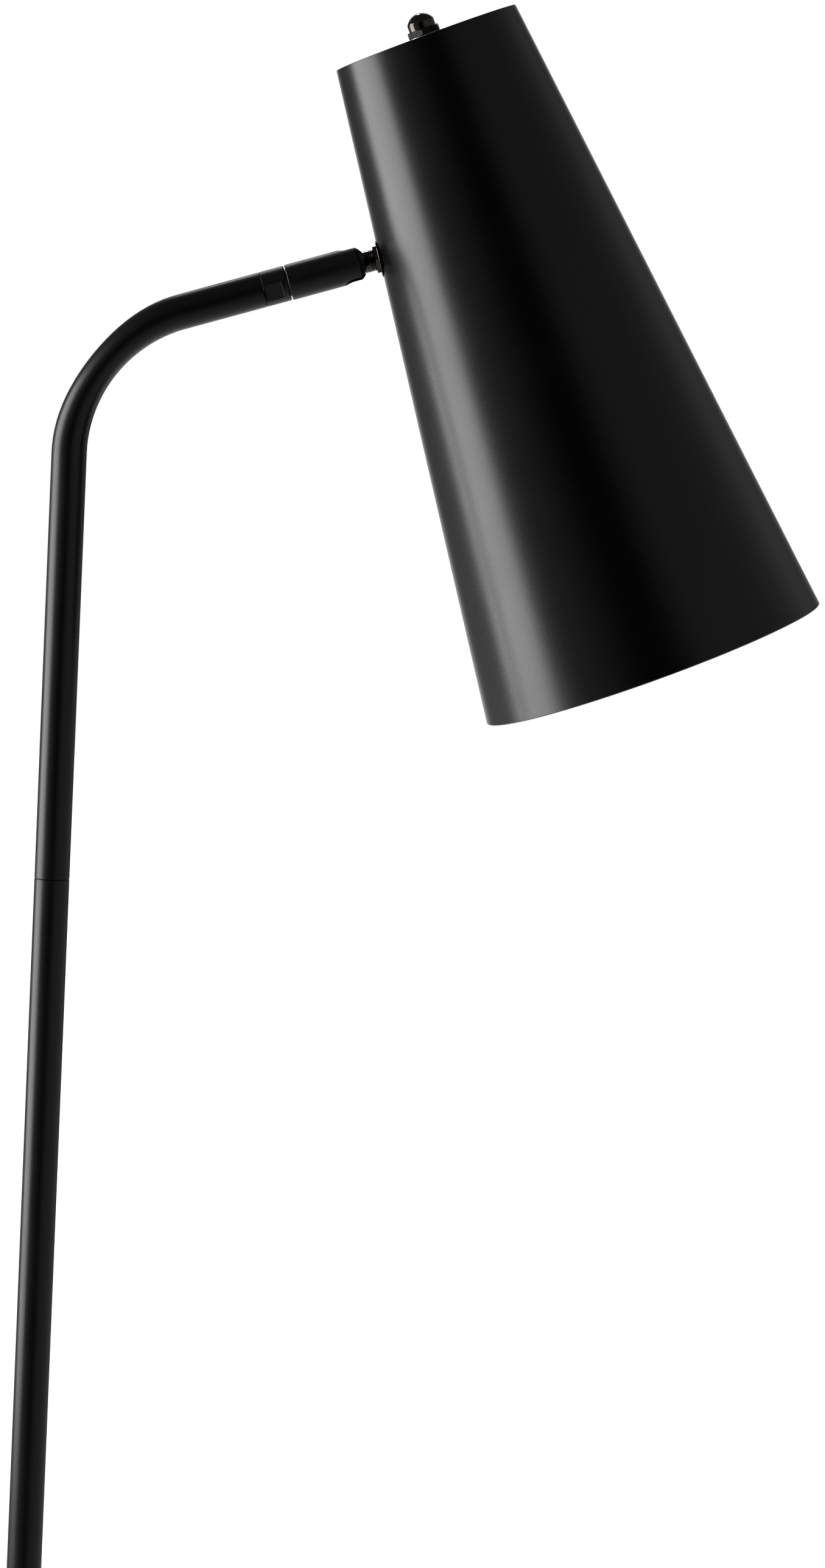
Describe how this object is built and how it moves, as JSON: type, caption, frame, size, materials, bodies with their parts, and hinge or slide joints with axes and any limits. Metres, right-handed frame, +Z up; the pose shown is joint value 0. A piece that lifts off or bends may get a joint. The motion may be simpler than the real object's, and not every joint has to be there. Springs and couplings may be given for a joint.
{
  "type": "adjustable arm floor lamp",
  "caption": "Floor lamp with a weighted round base, a sectioned pole bent into a short arm, a swivel and tilt knuckle, and a long cone shade.",
  "frame": {"origin": "centre of the base's underside, on the pole's axis", "axes": "+Z up along the pole; +X from the pole toward the arm's end and the shade; +Y completes a right-handed frame"},
  "size_m": [0.4792, 0.27, 1.5055],
  "materials": {
    "tube_coat": "satin",
    "joint_coat": "satin",
    "shade_coat": "satin",
    "black_nickel": "gloss",
    "zinc_steel": "satin",
    "base_iron": "matte",
    "pad_foam": "matte",
    "gland_plastic": "matte",
    "lead_sheath": "satin",
    "seat_nylon": "matte",
    "holder_plastic": "matte",
    "insert_ceramic": "satin",
    "contact_brass": "satin",
    "bulb_metal": "satin",
    "bulb_plastic": "satin",
    "bulb_frost": "matte"
  },
  "bodies": {
    "stand": {"base_cover": "tube_coat", "pole_seat": "tube_coat", "pole_lower": "tube_coat", "pole_middle": "tube_coat", "arm_tube": "tube_coat", "swivel_collar": "joint_coat", "base_washer": "zinc_steel", "base_nut": "zinc_steel", "base_nipple": "zinc_steel", "pole_foot_bush": "zinc_steel", "coupler_stud_lower": "zinc_steel", "coupler_socket_lower": "zinc_steel", "coupler_stud_upper": "zinc_steel", "coupler_socket_upper": "zinc_steel", "arm_end_bush": "zinc_steel", "swivel_stop_pin": "zinc_steel", "swivel_spring_washer": "zinc_steel", "swivel_lock_nut": "zinc_steel", "base_weight": "base_iron", "base_pad": "pad_foam", "cord_gland": "gland_plastic", "stand_lead": "lead_sheath"},
    "knuckle": {"knuckle_housing": "joint_coat", "ball_seat": "seat_nylon", "ball_spring": "zinc_steel", "ball_plug": "zinc_steel", "tilt_pins": "zinc_steel", "knuckle_lead": "lead_sheath"},
    "head": {"tilt_ball": "black_nickel", "shade_stem": "black_nickel", "stem_nut_outer": "black_nickel", "shade_washer_outer": "black_nickel", "shade_washer_inner": "zinc_steel", "stem_nut_inner": "zinc_steel", "shade": "shade_coat", "top_spacer": "zinc_steel", "top_washer": "zinc_steel", "top_cap_nut": "black_nickel", "top_nipple": "zinc_steel", "top_washer_inner": "zinc_steel", "top_nut_inner": "zinc_steel", "lampholder_cap": "holder_plastic", "lampholder_shell": "holder_plastic", "lampholder_insert": "insert_ceramic", "screw_shell": "contact_brass", "centre_contact": "contact_brass", "bulb_cap": "bulb_metal", "bulb_tip": "contact_brass", "bulb_housing": "bulb_plastic", "bulb_globe": "bulb_frost", "head_lead": "lead_sheath"}
  },
  "joints": [
    {"name": "head_swivel", "type": "hinge", "parent": "stand", "child": "knuckle", "pos_m": [0.09947, 0, 1.37803], "axis": [0.9519, 0, 0.3065], "range_deg": [-165, 165]},
    {"name": "head_tilt", "type": "hinge", "parent": "knuckle", "child": "head", "pos_m": [0.12384, 0, 1.38588], "axis": [-0.0427, -0.9903, 0.1325], "range_deg": [-40, 75]}
  ]
}
